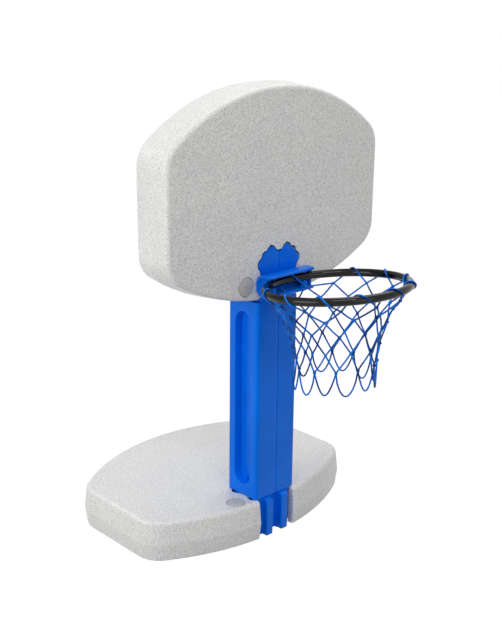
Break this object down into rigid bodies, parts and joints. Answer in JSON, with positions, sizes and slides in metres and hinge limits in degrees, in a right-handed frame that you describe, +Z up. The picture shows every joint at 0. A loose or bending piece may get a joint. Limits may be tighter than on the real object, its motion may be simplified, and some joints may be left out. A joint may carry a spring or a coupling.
{
  "type": "poolside basketball hoop",
  "caption": "Poolside basketball hoop: a rounded backboard and a matching weighted base on a hollow blue post, with a black tube rim and a blue cord net.",
  "frame": {"origin": "on the deck, under the middle of the base's flat underside", "axes": "+Z up, +Y away from the pool, so the rim reaches out towards -Y and the backboard faces -Y; +X to the right seen from the pool"},
  "size_m": [0.79, 0.9768, 1.2915],
  "materials": {
    "granite_plastic": "rotomoulded pale grey polyethylene with fine grey speckles, soft satin",
    "cap_plastic": "moulded grey plastic, smooth satin",
    "blue_plastic": "rotomoulded bright blue polyethylene, semi-gloss",
    "black_paint": "gloss black powder coat on a bent steel tube",
    "blue_cord": "bright blue braided polypropylene cord",
    "seal_rubber": "soft black rubber",
    "zinc_steel": "bright stainless steel",
    "insert_brass": "knurled brass"
  },
  "bodies": {
    "base": {"base_tank": "granite_plastic"},
    "base_seal": {"base_cap_seal": "seal_rubber"},
    "base_cap": {"base_fill_cap": "cap_plastic"},
    "post": {"post": "blue_plastic", "rim_bracket": "blue_plastic", "bracket_bolt_1": "zinc_steel", "bracket_bolt_2": "zinc_steel", "bracket_bolt_3": "zinc_steel", "bracket_bolt_4": "zinc_steel", "bracket_insert_1": "insert_brass", "bracket_insert_2": "insert_brass", "bracket_insert_3": "insert_brass", "bracket_insert_4": "insert_brass", "rim": "black_paint", "rim_screw_1": "zinc_steel", "rim_screw_2": "zinc_steel", "net": "blue_cord"},
    "backboard": {"backboard_tank": "granite_plastic"},
    "board_seal": {"backboard_cap_seal": "seal_rubber"},
    "board_cap": {"backboard_fill_cap": "cap_plastic"}
  },
  "joints": [
    {"name": "post_lift", "type": "slide", "parent": "base", "child": "post", "axis": [0, 0, 1], "range_m": [0, 0.125]},
    {"name": "backboard_pull", "type": "slide", "parent": "post", "child": "backboard", "axis": [0, 1, 0], "range_m": [0, 0.125]},
    {"name": "base_cap_lift", "type": "slide", "parent": "base", "child": "base_seal", "axis": [0, 0, 1], "range_m": [0, 0.0151]},
    {"name": "base_cap_turn", "type": "hinge", "parent": "base_seal", "child": "base_cap", "pos_m": [-0.121, -0.2345, 0.119], "axis": [0, 0, 1], "range_deg": [0, 1080]},
    {"name": "backboard_cap_lift", "type": "slide", "parent": "backboard", "child": "board_seal", "axis": [0, -1, 0], "range_m": [0, 0.0151]},
    {"name": "backboard_cap_turn", "type": "hinge", "parent": "board_seal", "child": "board_cap", "pos_m": [-0.121, -0.2705, 0.7655], "axis": [0, -1, 0], "range_deg": [0, 1080]}
  ],
  "couplings": [
    {"joint": "base_cap_lift", "follows": "base_cap_turn", "m_per_rad": 0.00079577},
    {"joint": "backboard_cap_lift", "follows": "backboard_cap_turn", "m_per_rad": 0.00079577}
  ]
}
